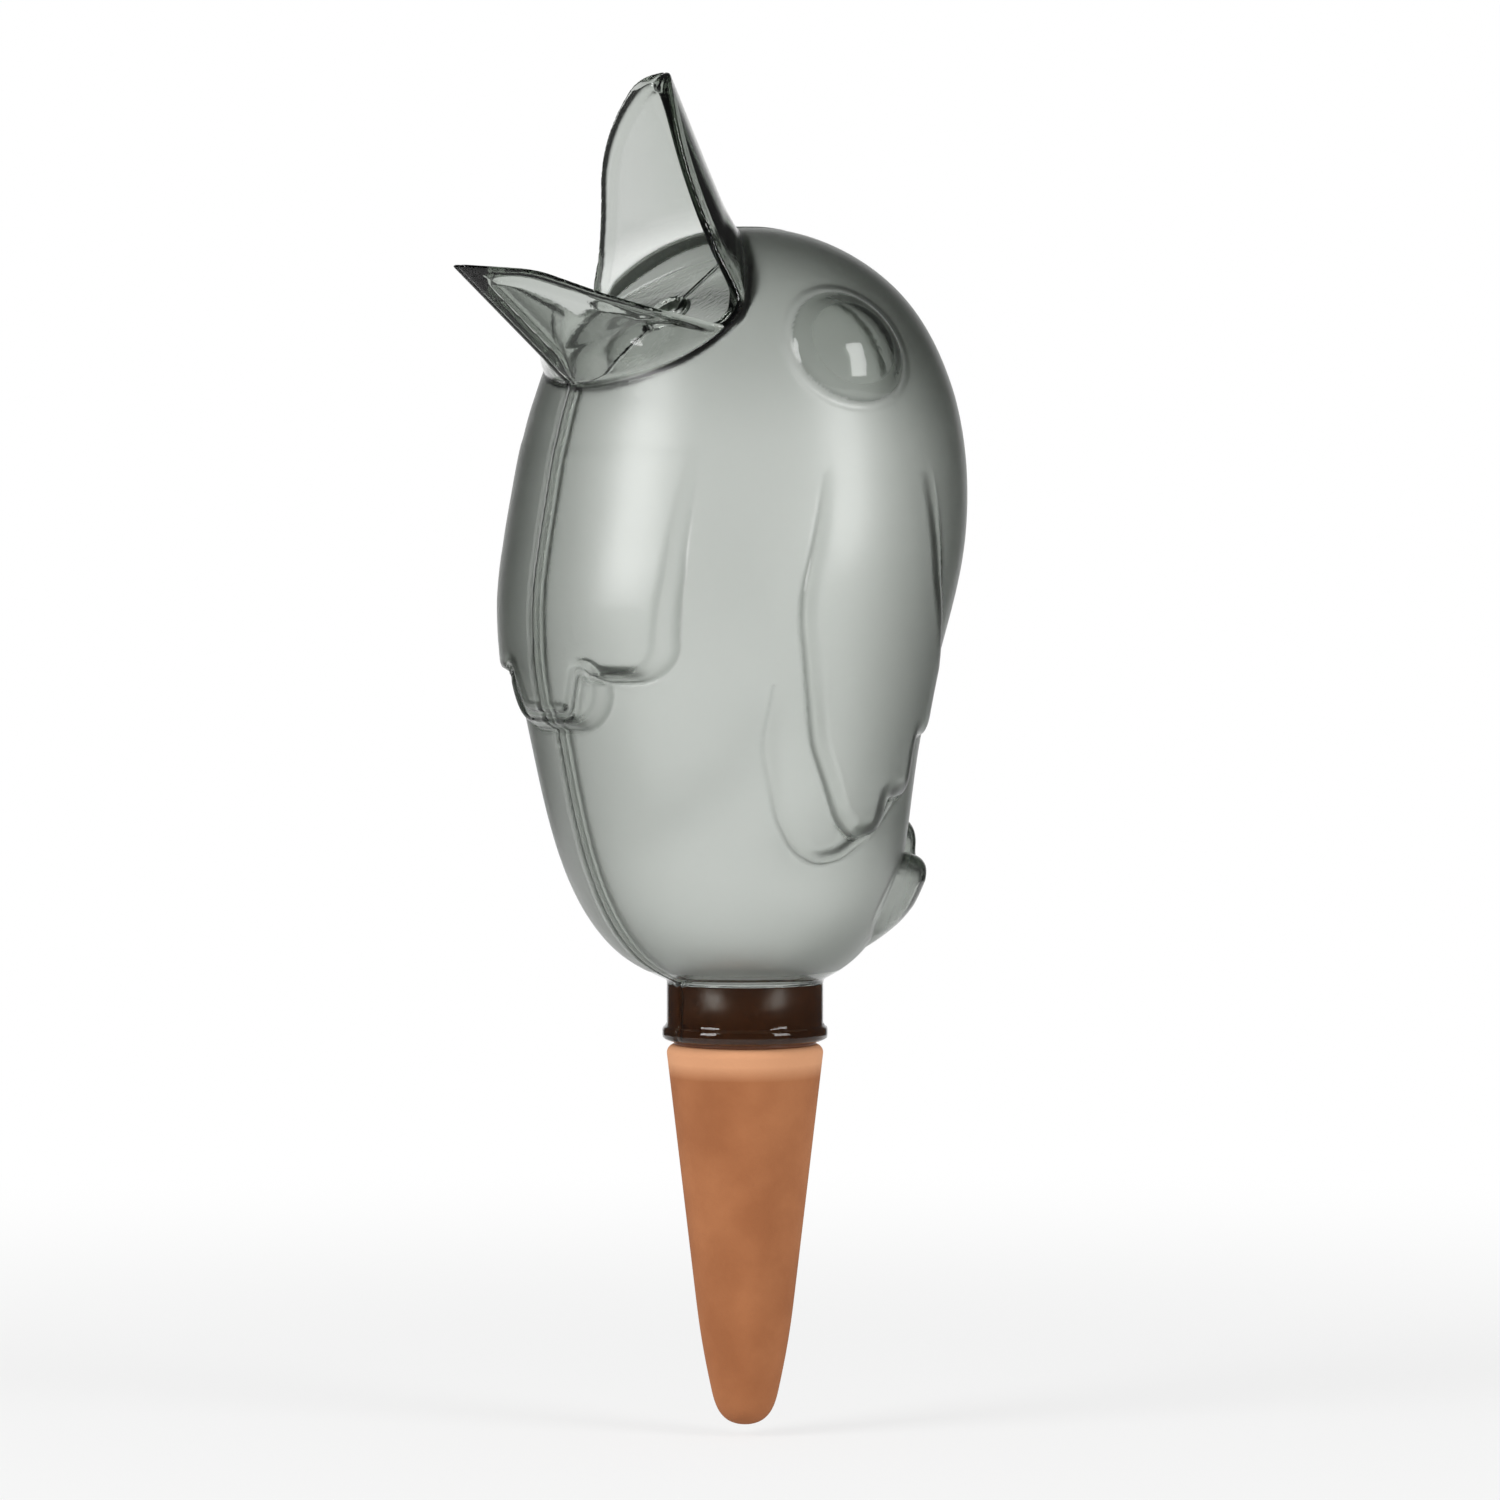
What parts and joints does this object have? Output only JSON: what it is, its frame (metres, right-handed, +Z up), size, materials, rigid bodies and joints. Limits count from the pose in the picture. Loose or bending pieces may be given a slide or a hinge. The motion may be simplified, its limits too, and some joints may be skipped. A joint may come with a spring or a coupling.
{
  "type": "self watering spike",
  "caption": "Bird-shaped clear water tank with an open beak to fill it, on a plug and a hollow porous clay cone that waters one potted plant.",
  "frame": {"origin": "on the cone's axis at the top of the clay, which is the soil line when the cone is pushed in", "axes": "+Z up along the cone and tank, -Y the way the bird faces, +X the bird's left side"},
  "size_m": [0.093, 0.1122, 0.271],
  "materials": {
    "tank_plastic": "clear grey tint, frosted body with polished beak and eyes",
    "plug_plastic": "satin dark brown",
    "adhesive": "cured adhesive",
    "terracotta": "unglazed fired clay, matte and finely mottled"
  },
  "bodies": {
    "spike": {"clay_cone": "terracotta", "connector_plug": "plug_plastic", "bond_ring": "adhesive"},
    "tank": {"tank_left": "tank_plastic", "tank_right": "tank_plastic"}
  },
  "joints": [
    {"name": "tank_lift", "type": "slide", "parent": "spike", "child": "tank", "axis": [0, 0, 1], "range_m": [0, 0.02]}
  ]
}
